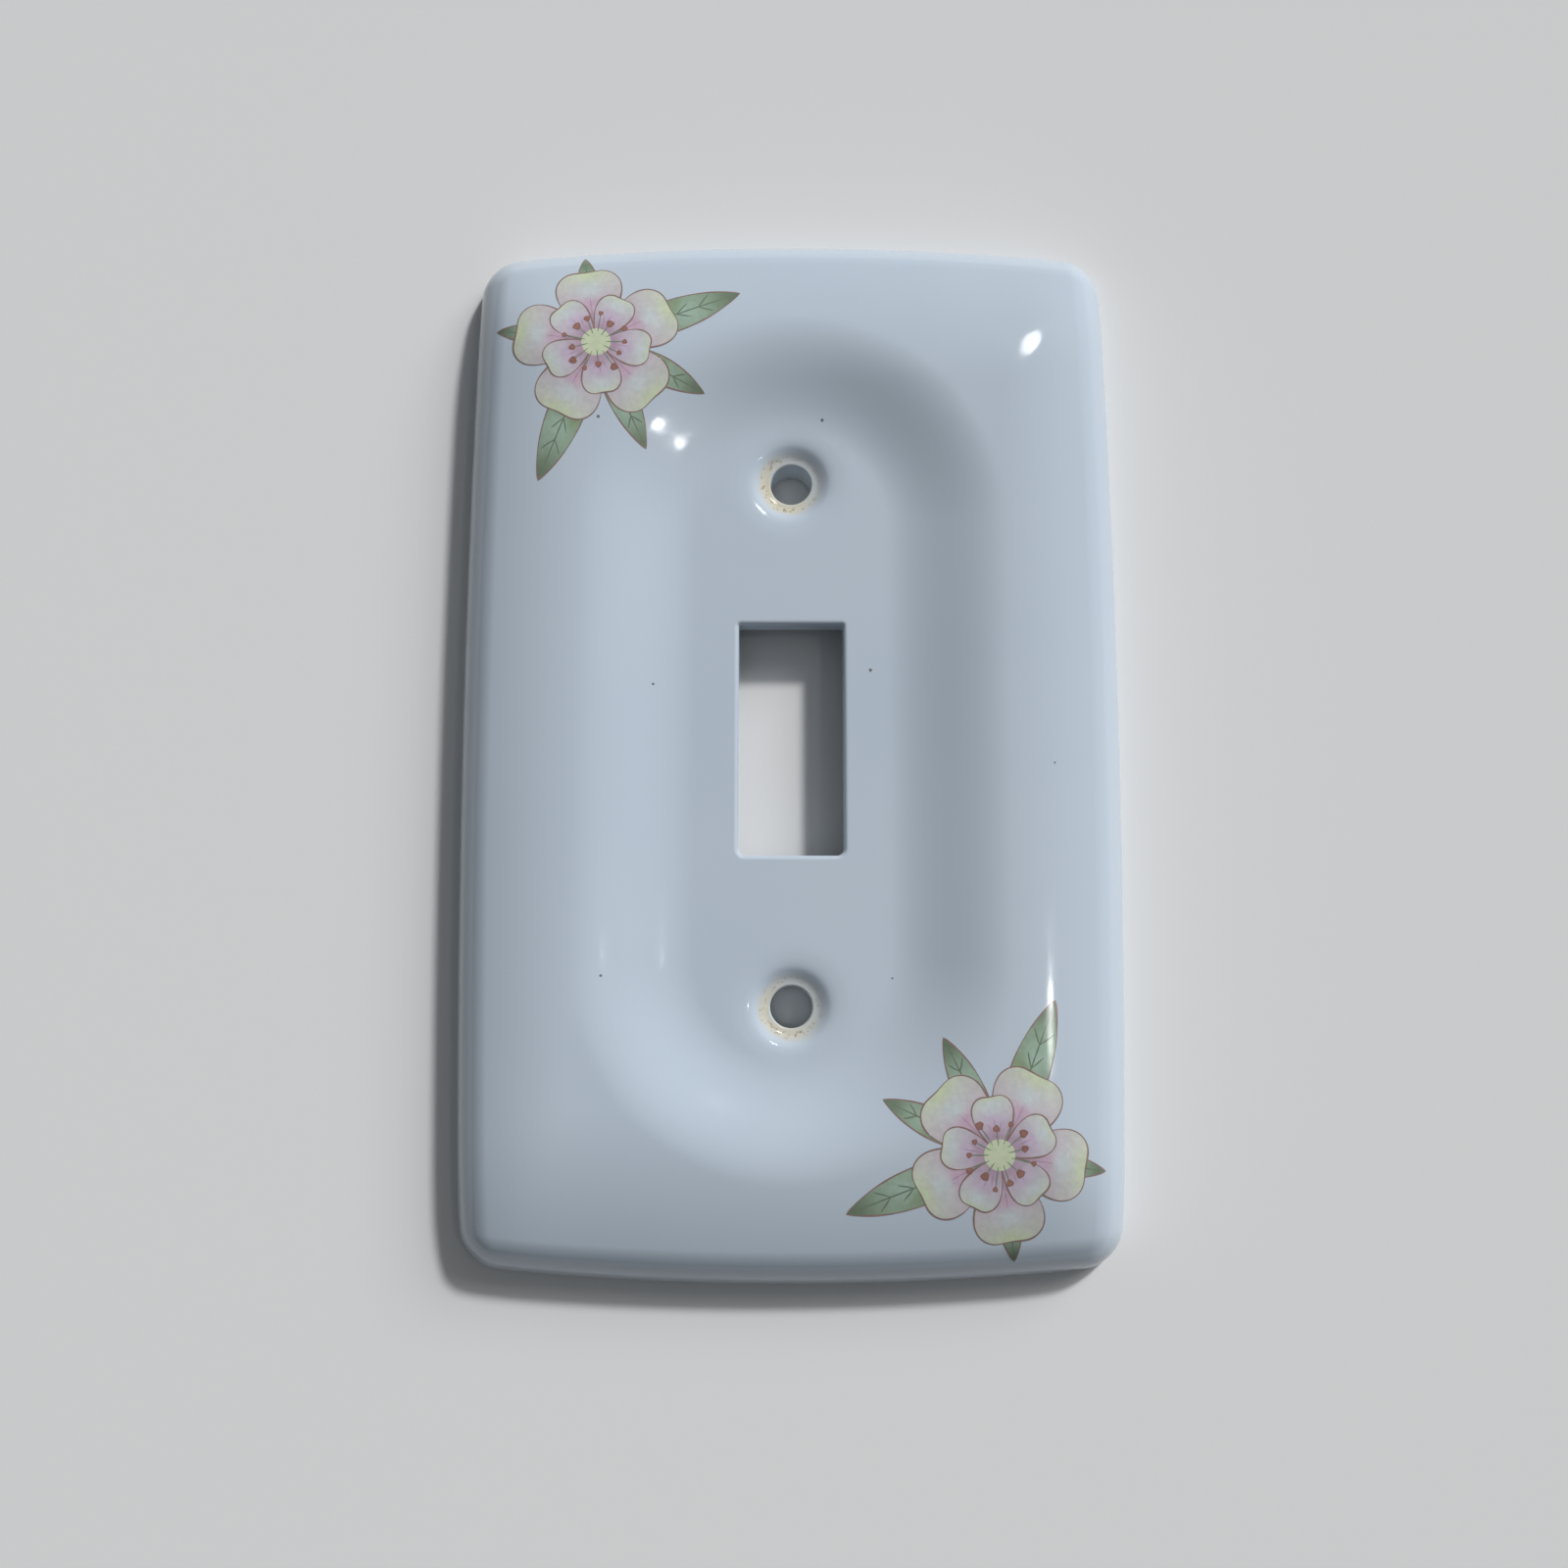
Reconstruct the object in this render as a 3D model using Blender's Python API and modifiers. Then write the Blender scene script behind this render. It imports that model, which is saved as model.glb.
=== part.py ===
"""Porcelain wall plate for a single toggle switch, with two fired-on floral transfers.

The plate lies on its rear foot rim: +Z points out of the wall, +Y to the plate's top, and the
origin is under the middle of the plate. Every length is in metres.
"""

from math import cos, hypot, pi, radians, sin, sqrt

import bmesh
import bpy
from mathutils import Matrix, Vector

MM = 0.001

# Outline, seen from the front. Each edge bows outwards by its sagitta.
PLATE_WIDTH = 76.0 * MM
PLATE_LENGTH = 121.4 * MM
SIDE_BOW = 1.1 * MM
END_BOW = 2.1 * MM
CORNER_RADIUS = 4.4 * MM

# Front surface: a level dish in the middle, a rounded crest round it, and a soft fall to the rim.
FLOOR_HEIGHT = 6.2 * MM
DISH_DEPTH = 3.0 * MM
DISH_AXIS_HALF = 25.0 * MM
DISH_FLOOR_RADIUS = 11.0 * MM
DISH_CREST_RADIUS = 24.5 * MM
SIDE_FALL_START = 13.0 * MM
SIDE_FALL_CURVATURE = 35.0
END_FALL_START = 19.0 * MM
END_FALL_CURVATURE = 23.0
RIM_RADIUS = 4.2 * MM

# Wall and rear.
WALL = 2.8 * MM
FOOT_WIDTH = 3.2 * MM
FOOT_CHAMFER = 0.3 * MM
REAR_FILLET = 1.6 * MM

# Standard device spacing and the openings through the floor.
SCREW_SPACING = 60.3 * MM
SCREW_BORE_RADIUS = 2.35 * MM
# The hole's cutter opens wide above the glaze: each pair is a radius and a height over the floor.
SCREW_MOUTH_MM = ((10.4, 1.6), (9.4, 0.8), (8.4, 0.3))
# Turned profile of the glaze round a screw hole, from a soft dimple in to a flatter seat and the
# bore's edge: each pair is a radius and a depth below the dish floor, in millimetres.
SCREW_DIMPLE_MM = (
    (7.0, 0.0), (6.2, 0.02), (5.4, 0.08), (4.8, 0.17), (4.4, 0.28), (4.1, 0.43), (3.65, 0.70),
    (3.2, 0.97), (2.9, 1.07), (2.35, 1.16),
)
# Round boss behind each screw hole, which stops just short of the wall.
BOSS_RADIUS = 5.0 * MM
BOSS_ROOT_RADIUS = 6.0 * MM
BOSS_CHAMFER = 0.4 * MM
BOSS_GAP = 0.2 * MM
BOSS_MERGE_DEPTH = 1.0 * MM
TOGGLE_WIDTH = 11.9 * MM
TOGGLE_LENGTH = 26.5 * MM
TOGGLE_LOWER_CORNER = 0.8 * MM

# Fired-on transfers: a thin enamel skin that follows the glaze.
TRANSFER_GAP = 0.3 * MM
TRANSFER_THICKNESS = 0.15 * MM
TRANSFER_HUB = (-22.5 * MM, 46.0 * MM)
TRANSFER_GRID = 1.3 * MM
TRANSFER_MARGIN = Vector((0.5, 0.5)) * MM

OVERRUN = 6.0 * MM
MERGE = 0.00001
WALK_STEPS = 12
TURNED_FACETS = 36

# Silhouette of one spray: a plain round flower with pointed leaves behind it, even about the
# diagonal that runs from the plate's corner towards its middle. Each leaf has its angle to either
# side of the diagonal, and its reach.
SPRAY_DIAGONAL = radians(-45)
SPRAY_STEPS = 180
PETALS = 5
PETAL_REACH = 10.0 * MM
PETAL_NOTCH = 0.16
LEAVES = ((radians(20), 14.0 * MM), (radians(66), 18.0 * MM), (radians(144), 12.0 * MM))
LEAF_SPREAD = radians(26)
LEAF_TAPER = 1.1


def side_reach(y):
    """Half width of the plate at this height up the plate."""
    return PLATE_WIDTH / 2 - SIDE_BOW * (2 * y / PLATE_LENGTH) ** 2


def end_reach(x):
    """Half length of the plate at this distance from its centre line."""
    return PLATE_LENGTH / 2 - END_BOW * (2 * x / PLATE_WIDTH) ** 2


def inset_from_edge(x, y):
    """Distance in from the outline, with its corners rounded."""
    from_side = side_reach(y) - abs(x)
    from_end = end_reach(x) - abs(y)
    into_side = CORNER_RADIUS - from_side
    into_end = CORNER_RADIUS - from_end
    if into_side > 0 and into_end > 0:
        return CORNER_RADIUS - hypot(into_side, into_end)
    return min(from_side, from_end)


def smooth_step(value):
    value = min(max(value, 0.0), 1.0)
    return value * value * (3 - 2 * value)


def front_height(x, y):
    """Height of the front face over the wall plane, before its openings are cut."""
    from_side = side_reach(y) - abs(x)
    from_end = end_reach(x) - abs(y)
    side_fall = SIDE_FALL_CURVATURE * max(SIDE_FALL_START - from_side, 0) ** 2 / 2
    end_fall = END_FALL_CURVATURE * max(END_FALL_START - from_end, 0) ** 2 / 2
    into_rim = min(max(RIM_RADIUS - inset_from_edge(x, y), 0), RIM_RADIUS)
    rim_fall = RIM_RADIUS - sqrt(RIM_RADIUS**2 - into_rim**2)
    from_axis = hypot(x, max(abs(y) - DISH_AXIS_HALF, 0))
    rise = (from_axis - DISH_FLOOR_RADIUS) / (DISH_CREST_RADIUS - DISH_FLOOR_RADIUS)
    crest = FLOOR_HEIGHT + DISH_DEPTH * smooth_step(rise)
    return crest - hypot(side_fall, end_fall) - rim_fall


def outline_points():
    """The outline counter-clockwise from the middle of the right side, denser round the corners."""
    quarter = []
    side_end = end_reach(PLATE_WIDTH / 2) - CORNER_RADIUS
    steps = 11
    for i in range(steps):
        y = side_end * i / steps
        quarter.append((side_reach(y), y))
    centre_x = side_reach(side_end) - CORNER_RADIUS
    centre_y = end_reach(centre_x) - CORNER_RADIUS
    steps = 7
    for i in range(steps + 1):
        turn = pi / 2 * i / steps
        quarter.append((centre_x + CORNER_RADIUS * cos(turn), centre_y + CORNER_RADIUS * sin(turn)))
    steps = 7
    for i in range(1, steps + 1):
        x = centre_x * (1 - i / steps)
        quarter.append((x, end_reach(x)))
    half = quarter + [(-x, y) for x, y in reversed(quarter[:-1])]
    return half + [(-x, -y) for x, y in half[1:-1]]


def dish_anchor(y):
    """The nearest point of the dish's axis to a point of the outline."""
    return min(max(y, -DISH_AXIS_HALF), DISH_AXIS_HALF)


def edge_ring(inset):
    """The line at this inset, found by walking in from each outline point to the dish's axis."""
    ring = []
    for x, y in outline_points():
        start = Vector((x, y))
        inwards = (Vector((0, dish_anchor(y))) - start).normalized()
        walked = inset
        for _ in range(WALK_STEPS):
            walked += inset - inset_from_edge(*(start + inwards * walked))
        ring.append(tuple(start + inwards * walked))
    return ring


def dish_ring(radius):
    """The stadium at this distance from the dish's axis."""
    ring = []
    for x, y in outline_points():
        anchor = dish_anchor(y)
        reach = hypot(x, y - anchor)
        ring.append((x / reach * radius, anchor + (y - anchor) / reach * radius))
    return ring


def between_rings(outer, inner, share):
    return [
        (a[0] + (b[0] - a[0]) * share, a[1] + (b[1] - a[1]) * share)
        for a, b in zip(outer, inner, strict=True)
    ]


def material(name, colour, roughness):
    made = bpy.data.materials.new(name)
    made.use_nodes = True
    shader = made.node_tree.nodes["Principled BSDF"]
    shader.inputs["Base Color"].default_value = (*colour, 1)
    shader.inputs["Roughness"].default_value = roughness
    shader.inputs["Metallic"].default_value = 0
    made.diffuse_color = (*colour, 1)
    return made


def collection(name):
    made = bpy.data.collections.new(name)
    bpy.context.scene.collection.children.link(made)
    return made


def object_from_bmesh(name, built, group):
    bmesh.ops.recalc_face_normals(built, faces=built.faces)
    mesh = bpy.data.meshes.new(name)
    built.to_mesh(mesh)
    built.free()
    made = bpy.data.objects.new(name, mesh)
    group.objects.link(made)
    return made


def as_cutter(made):
    made.hide_render = True
    made.display_type = "WIRE"
    return made


def boolean(made, cutter, operation):
    cut = made.modifiers.new(cutter.name, "BOOLEAN")
    cut.operation = operation
    cut.solver = "EXACT"
    cut.object = cutter


def loft(name, levels, group):
    """A closed body through rings of (x, y, z) points, with a flat face on its first and last ring."""
    built = bmesh.new()
    rings = [[built.verts.new(point) for point in level] for level in levels]
    for outer, inner in zip(rings[:-1], rings[1:], strict=True):
        for i, corner in enumerate(outer):
            after = (i + 1) % len(outer)
            built.faces.new((corner, outer[after], inner[after], inner[i]))
    built.faces.new(rings[0])
    built.faces.new(reversed(rings[-1]))
    bmesh.ops.triangulate(built, faces=[face for face in built.faces if len(face.verts) == 4])
    return object_from_bmesh(name, built, group)


def front_levels():
    """Rings of the front face, from the rim's widest line in to the dish floor."""
    rim_steps = 6
    levels = []
    for i in range(rim_steps + 1):
        inset = RIM_RADIUS * (1 - cos(pi / 2 * i / rim_steps))
        levels.append(edge_ring(inset))
    rim, crest = levels[-1], dish_ring(DISH_CREST_RADIUS)
    levels += [between_rings(rim, crest, share) for share in (0.33, 0.67)]
    dish_steps = 7
    for i in range(dish_steps + 1):
        slope = DISH_CREST_RADIUS - DISH_FLOOR_RADIUS
        levels.append(dish_ring(DISH_CREST_RADIUS - slope * i / dish_steps))
    return [[(x, y, front_height(x, y)) for x, y in level] for level in levels]


def rear_levels():
    """Rings of the hollow rear, from the dish floor's back out to the foot's inner edge."""
    plan = []
    dish_steps = 5
    for i in range(dish_steps + 1):
        slope = DISH_CREST_RADIUS - DISH_FLOOR_RADIUS
        plan.append(dish_ring(DISH_FLOOR_RADIUS + slope * i / dish_steps))
    under_rim = edge_ring(FOOT_WIDTH + REAR_FILLET)
    plan.append(between_rings(plan[-1], under_rim, 0.5))
    levels = [[(x, y, front_height(x, y) - WALL) for x, y in ring] for ring in plan]
    fillet_steps = 4
    for i in range(fillet_steps + 1):
        turn = pi / 2 * i / fillet_steps
        ring = edge_ring(FOOT_WIDTH + REAR_FILLET * (1 - sin(turn)))
        drop = WALL + REAR_FILLET * (1 - cos(turn))
        levels.append([(x, y, front_height(x, y) - drop) for x, y in ring])
    levels.append([(x, y, 0.0) for x, y in edge_ring(FOOT_WIDTH)])
    return levels


def plate_levels():
    rear = rear_levels()
    foot = [[(x, y, 0.0) for x, y in edge_ring(FOOT_CHAMFER)]]
    wall = [[(x, y, FOOT_CHAMFER) for x, y in edge_ring(0.0)]]
    return rear + foot + wall + front_levels()


def turned_body(name, profile, y, group):
    """A closed body turned from (radius, height) pairs, top first, about the axis through (0, y)."""
    mesh = bpy.data.meshes.new(name)
    edges = [(i, i + 1) for i in range(len(profile) - 1)]
    mesh.from_pydata([(radius, 0, height) for radius, height in profile], edges, [])
    made = bpy.data.objects.new(name, mesh)
    made.location = (0, y, 0)
    group.objects.link(made)
    turned = made.modifiers.new("turn", "SCREW")
    turned.steps = turned.render_steps = TURNED_FACETS
    turned.use_merge_vertices = True
    turned.merge_threshold = MERGE
    return as_cutter(made)


def screw_hole_cutter(name, y, group):
    mouth = SCREW_MOUTH_MM[0][0] * MM
    profile = [(0.0, FLOOR_HEIGHT + OVERRUN), (mouth, FLOOR_HEIGHT + OVERRUN)]
    profile += [(radius * MM, FLOOR_HEIGHT + rise * MM) for radius, rise in SCREW_MOUTH_MM]
    profile += [(radius * MM, FLOOR_HEIGHT - depth * MM) for radius, depth in SCREW_DIMPLE_MM]
    profile += [(SCREW_BORE_RADIUS, -OVERRUN), (0.0, -OVERRUN)]
    return turned_body(name, profile, y, group)


def screw_boss(name, y, group):
    """The boss starts inside the dish floor, and its facets lie between those of the bore."""
    root = FLOOR_HEIGHT - WALL
    profile = [
        (0.0, root + BOSS_MERGE_DEPTH),
        (BOSS_ROOT_RADIUS, root + BOSS_MERGE_DEPTH),
        (BOSS_RADIUS, root - BOSS_MERGE_DEPTH),
        (BOSS_RADIUS, BOSS_GAP + BOSS_CHAMFER),
        (BOSS_RADIUS - BOSS_CHAMFER, BOSS_GAP),
        (0.0, BOSS_GAP),
    ]
    boss = turned_body(name, profile, y, group)
    boss.rotation_euler.z = pi / TURNED_FACETS
    return boss


def toggle_cutter(group):
    """The toggle's slot: square corners at the top, rounded ones at the bottom."""
    built = bmesh.new()
    size = Matrix.Diagonal((TOGGLE_WIDTH, TOGGLE_LENGTH, 4 * OVERRUN, 1))
    bmesh.ops.create_cube(built, size=1, matrix=size)
    lower = [e for e in built.edges if all(v.co.y < 0 for v in e.verts)]
    upright = [e for e in lower if abs(e.verts[0].co.z - e.verts[1].co.z) > OVERRUN]
    bmesh.ops.bevel(
        built, geom=upright, offset=TOGGLE_LOWER_CORNER, offset_type="OFFSET", segments=4, profile=0.5,
        affect="EDGES",
    )
    return as_cutter(object_from_bmesh("toggle_slot_cutter", built, group))


def porcelain_plate(parts, cutters):
    made = loft("porcelain_plate", plate_levels(), parts)
    made.data.materials.append(material("glazed porcelain", (0.78, 0.80, 0.83), 0.08))
    boolean(made, toggle_cutter(cutters), "DIFFERENCE")
    for name, side in (("upper", 1), ("lower", -1)):
        y = side * SCREW_SPACING / 2
        boolean(made, screw_boss(name + "_screw_boss", y, cutters), "UNION")
        boolean(made, screw_hole_cutter(name + "_screw_hole_cutter", y, cutters), "DIFFERENCE")
    made.data.shade_smooth()
    made.data.set_sharp_from_angle(angle=pi / 4)


def spray_reach(turn):
    """How far the spray reaches in one direction, given as an angle from its diagonal."""
    reach = PETAL_REACH * (1 - PETAL_NOTCH * sin(PETALS * turn / 2) ** 2)
    for side, length in LEAVES:
        off = abs(abs(turn) - side) / LEAF_SPREAD
        if off < 1:
            reach = max(reach, length * (1 - off**LEAF_TAPER))
    return reach


def spray_outline():
    """The silhouette's points in metres, once round the middle of the flower."""
    points = []
    for i in range(SPRAY_STEPS):
        turn = 2 * pi * i / SPRAY_STEPS - pi
        heading = turn + SPRAY_DIAGONAL
        points.append(Vector((cos(heading), sin(heading))) * spray_reach(turn))
    return points


def spray_cutter(name, turned, group):
    """An upright prism with the spray's silhouette."""
    curve = bpy.data.curves.new(name, "CURVE")
    curve.dimensions = "2D"
    curve.fill_mode = "BOTH"
    curve.extrude = OVERRUN
    spline = curve.splines.new("POLY")
    outline = spray_outline()
    spline.points.add(len(outline) - 1)
    for point, (x, y) in zip(spline.points, outline, strict=True):
        point.co = (x, y, 0, 1)
    spline.use_cyclic_u = True
    drawn = bpy.data.objects.new(name + "_outline", curve)
    group.objects.link(drawn)
    place = Matrix.Rotation(pi if turned else 0, 4, "Z")
    drawn.matrix_world = place @ Matrix.Translation((*TRANSFER_HUB, FLOOR_HEIGHT))
    bpy.context.view_layer.update()
    seen = drawn.evaluated_get(bpy.context.evaluated_depsgraph_get())
    mesh = bpy.data.meshes.new_from_object(seen)
    made = bpy.data.objects.new(name, mesh)
    made.matrix_world = drawn.matrix_world
    group.objects.link(made)
    bpy.data.objects.remove(drawn)
    built = bmesh.new()
    built.from_mesh(mesh)
    bmesh.ops.remove_doubles(built, verts=built.verts, dist=MERGE)
    bmesh.ops.recalc_face_normals(built, faces=built.faces)
    built.to_mesh(mesh)
    built.free()
    return as_cutter(made)


def floral_transfer(name, turned, colour, parts, cutters):
    """A draped sheet over the spray's area, thickened, and trimmed to the spray's silhouette."""
    columns, rows = zip(*spray_outline(), strict=True)
    low = Vector((min(columns), min(rows))) - TRANSFER_MARGIN
    high = Vector((max(columns), max(rows))) + TRANSFER_MARGIN
    middle, size = (low + high) / 2, high - low
    built = bmesh.new()
    bmesh.ops.create_grid(
        built,
        x_segments=round(size.x / TRANSFER_GRID),
        y_segments=round(size.y / TRANSFER_GRID),
        size=0.5,
        matrix=Matrix.Translation((middle.x, middle.y, 0)) @ Matrix.Diagonal((size.x, size.y, 1, 1)),
    )
    facing = -1 if turned else 1
    for vert in built.verts:
        x = facing * (TRANSFER_HUB[0] + vert.co.x)
        y = facing * (TRANSFER_HUB[1] + vert.co.y)
        vert.co = (x, y, front_height(x, y) + TRANSFER_GAP)
    made = object_from_bmesh(name, built, parts)
    made.data.materials.append(material(name + " enamel", colour, 0.2))
    skin = made.modifiers.new("enamel", "SOLIDIFY")
    skin.thickness = TRANSFER_THICKNESS
    skin.offset = 1
    boolean(made, spray_cutter(name + "_cutter", turned, cutters), "INTERSECT")
    made.data.shade_smooth()


def main():
    for old in list(bpy.data.objects):
        bpy.data.objects.remove(old)
    parts = collection("porcelain_switch_plate")
    cutters = collection("cutters")
    porcelain_plate(parts, cutters)
    floral_transfer("upper_left_floral_transfer", False, (0.80, 0.62, 0.55), parts, cutters)
    floral_transfer("lower_right_floral_transfer", True, (0.76, 0.60, 0.56), parts, cutters)


main()
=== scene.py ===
"""Looks of the porcelain switch plate: its glazed body and the two painted flower sprays.

Everything is in metres in the frame of the CAD model. The plate lies on its rear foot, +Z points
out of the glazed face and +Y to the plate's top.
"""

from math import cos, pi, radians, sin, sqrt

import bpy
import numpy as np
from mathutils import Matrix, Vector
from mathutils.geometry import delaunay_2d_cdt


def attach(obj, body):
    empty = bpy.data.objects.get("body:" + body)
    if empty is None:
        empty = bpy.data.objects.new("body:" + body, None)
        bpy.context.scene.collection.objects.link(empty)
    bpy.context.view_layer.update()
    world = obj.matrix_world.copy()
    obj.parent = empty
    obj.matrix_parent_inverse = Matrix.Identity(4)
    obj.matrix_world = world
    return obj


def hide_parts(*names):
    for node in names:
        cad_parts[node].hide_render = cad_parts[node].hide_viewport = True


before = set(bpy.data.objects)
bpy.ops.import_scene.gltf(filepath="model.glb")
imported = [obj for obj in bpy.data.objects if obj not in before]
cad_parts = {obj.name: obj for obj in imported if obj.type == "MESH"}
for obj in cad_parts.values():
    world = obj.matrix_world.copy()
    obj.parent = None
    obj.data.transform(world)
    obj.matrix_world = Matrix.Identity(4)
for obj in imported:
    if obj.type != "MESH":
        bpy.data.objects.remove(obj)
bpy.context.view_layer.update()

MM = 0.001

# ---------------------------------------------------------------- shape of the glazed body, in mm
PLATE_WIDTH, PLATE_LENGTH = 76.0, 121.4
SIDE_BOW, END_BOW, CORNER_RADIUS = 1.1, 2.1, 4.4
FLOOR_HEIGHT, DISH_DEPTH, DISH_AXIS_HALF = 6.2, 3.0, 25.0
DISH_FLOOR_RADIUS, DISH_CREST_RADIUS = 11.0, 24.5
SIDE_FALL_START, SIDE_FALL_CURVATURE = 13.0, 0.035
END_FALL_START, END_FALL_CURVATURE = 19.0, 0.023
RIM_RADIUS = 4.2
WALL, FOOT_WIDTH, FOOT_CHAMFER, REAR_FILLET = 2.8, 3.2, 0.3, 1.6
SCREW_Y, BORE_RADIUS = 30.15, 2.35
DIMPLE = np.array([
    (7.0, 0.0), (6.2, 0.02), (5.4, 0.08), (4.8, 0.17), (4.4, 0.28), (4.1, 0.43), (3.65, 0.70),
    (3.2, 0.97), (2.9, 1.07), (2.35, 1.16),
])
BORE_LIP = 0.22
BOSS_RADIUS, BOSS_ROOT_RADIUS, BOSS_CHAMFER, BOSS_GAP = 5.0, 5.5, 0.4, 0.2
SLOT_HALF_WIDTH, SLOT_HALF_LENGTH = 5.95, 13.25
SLOT_UPPER_CORNER, SLOT_LOWER_CORNER, SLOT_LIP = 0.2, 0.8, 0.55
# Radius and height down a screw boss, from the flare at its root to its chamfered end.
BOSS_PROFILE = (
    (5.28, 3.25), (5.1, 3.0), (BOSS_RADIUS, 2.6), (BOSS_RADIUS, BOSS_GAP + BOSS_CHAMFER),
    (4.88, BOSS_GAP + 0.12), (BOSS_RADIUS - BOSS_CHAMFER, BOSS_GAP),
)

# How finely the body is divided.
FACE_GRID, REAR_GRID = 0.85, 1.3
EDGE_POINTS, SPARSE_EDGE_POINTS, SPARSE_FROM_STEP = 400, 360, 10
RING_POINTS, RIM_STEPS, BORE_LIP_STEPS, SLOT_LIP_STEPS, FILLET_STEPS = 72, 14, 4, 5, 6
DIMPLE_RINGS = [2.75, 2.95, 3.15, 3.35, 3.55, 3.75, 3.95, 4.15, 4.35, 4.55, 4.8, 5.1, 5.5, 6.0, 6.6]
SLOT_COLLAR = 0.95
# How far each grid keeps from the plate's edge, from the screws' axes and from the slot.
FACE_CLEARANCE = (RIM_RADIUS + 0.5, 7.1, 1.4)
REAR_CLEARANCE = (FOOT_WIDTH + REAR_FILLET + 0.7, BOSS_ROOT_RADIUS + 0.7, 0.8)


def smooth_step(value):
    value = np.clip(value, 0.0, 1.0)
    return value * value * (3 - 2 * value)


def from_edges(x, y):
    side = PLATE_WIDTH / 2 - SIDE_BOW * (2 * y / PLATE_LENGTH) ** 2 - abs(x)
    end = PLATE_LENGTH / 2 - END_BOW * (2 * x / PLATE_WIDTH) ** 2 - abs(y)
    return side, end


def inset_from_edge(x, y):
    side, end = from_edges(x, y)
    into_side, into_end = CORNER_RADIUS - side, CORNER_RADIUS - end
    corner = CORNER_RADIUS - np.hypot(into_side, into_end)
    return np.where((into_side > 0) & (into_end > 0), corner, np.minimum(side, end))


def body_height(x, y):
    """The glazed face before its openings are cut."""
    side, end = from_edges(x, y)
    side_fall = SIDE_FALL_CURVATURE * np.maximum(SIDE_FALL_START - side, 0) ** 2 / 2
    end_fall = END_FALL_CURVATURE * np.maximum(END_FALL_START - end, 0) ** 2 / 2
    into_rim = np.clip(RIM_RADIUS - inset_from_edge(x, y), 0, RIM_RADIUS)
    rim_fall = RIM_RADIUS - np.sqrt(RIM_RADIUS**2 - into_rim**2)
    from_axis = np.hypot(x, np.maximum(abs(y) - DISH_AXIS_HALF, 0))
    rise = (from_axis - DISH_FLOOR_RADIUS) / (DISH_CREST_RADIUS - DISH_FLOOR_RADIUS)
    return FLOOR_HEIGHT + DISH_DEPTH * smooth_step(rise) - np.hypot(side_fall, end_fall) - rim_fall


def screw_distance(x, y):
    return np.hypot(x, abs(y) - SCREW_Y)


def slot_distance(x, y):
    """Distance out from the toggle slot's outline, negative inside it."""
    corner = np.where(y > 0, SLOT_UPPER_CORNER, SLOT_LOWER_CORNER)
    out_x = abs(x) - SLOT_HALF_WIDTH + corner
    out_y = abs(y) - SLOT_HALF_LENGTH + corner
    outside = np.hypot(np.maximum(out_x, 0), np.maximum(out_y, 0))
    return outside + np.minimum(np.maximum(out_x, out_y), 0) - corner


def lip_fall(distance, radius):
    into = np.clip(radius - distance, 0, radius)
    return radius - np.sqrt(radius**2 - into**2)


def smooth_dimple():
    """The dimple's depth against radius, with its corners eased."""
    innermost, outermost, samples, window_width = 1.8, 9.0, 361, 31
    radius = np.linspace(innermost, outermost, samples)
    depth = np.interp(radius, DIMPLE[::-1, 0], DIMPLE[::-1, 1])
    window = np.hanning(window_width)
    padded = np.pad(depth, window_width // 2, mode="edge")
    return radius, np.convolve(padded, window / window.sum(), mode="valid")


DIMPLE_RADIUS, DIMPLE_DEPTH = smooth_dimple()


def face_height(x, y):
    """The glazed face with its dimples and eased lips."""
    x, y = np.asarray(x, float), np.asarray(y, float)
    height = body_height(x, y)
    from_screw = screw_distance(x, y)
    height = height - np.interp(from_screw, DIMPLE_RADIUS, DIMPLE_DEPTH, right=0.0)
    height = height - lip_fall(from_screw - BORE_RADIUS, BORE_LIP)
    return height - lip_fall(slot_distance(x, y), SLOT_LIP)


def face_normal(x, y):
    step = 0.01
    slope_x = (face_height(x + step, y) - face_height(x - step, y)) / (2 * step)
    slope_y = (face_height(x, y + step) - face_height(x, y - step)) / (2 * step)
    normal = np.stack([-slope_x, -slope_y, np.ones_like(slope_x)], axis=-1)
    return normal / np.linalg.norm(normal, axis=-1, keepdims=True)


def rear_height(x, y):
    inset = inset_from_edge(x, y) - FOOT_WIDTH
    fillet = REAR_FILLET - np.sqrt(
        REAR_FILLET**2 - np.clip(REAR_FILLET - inset, 0, REAR_FILLET) ** 2
    )
    return body_height(x, y) - WALL - fillet


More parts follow.
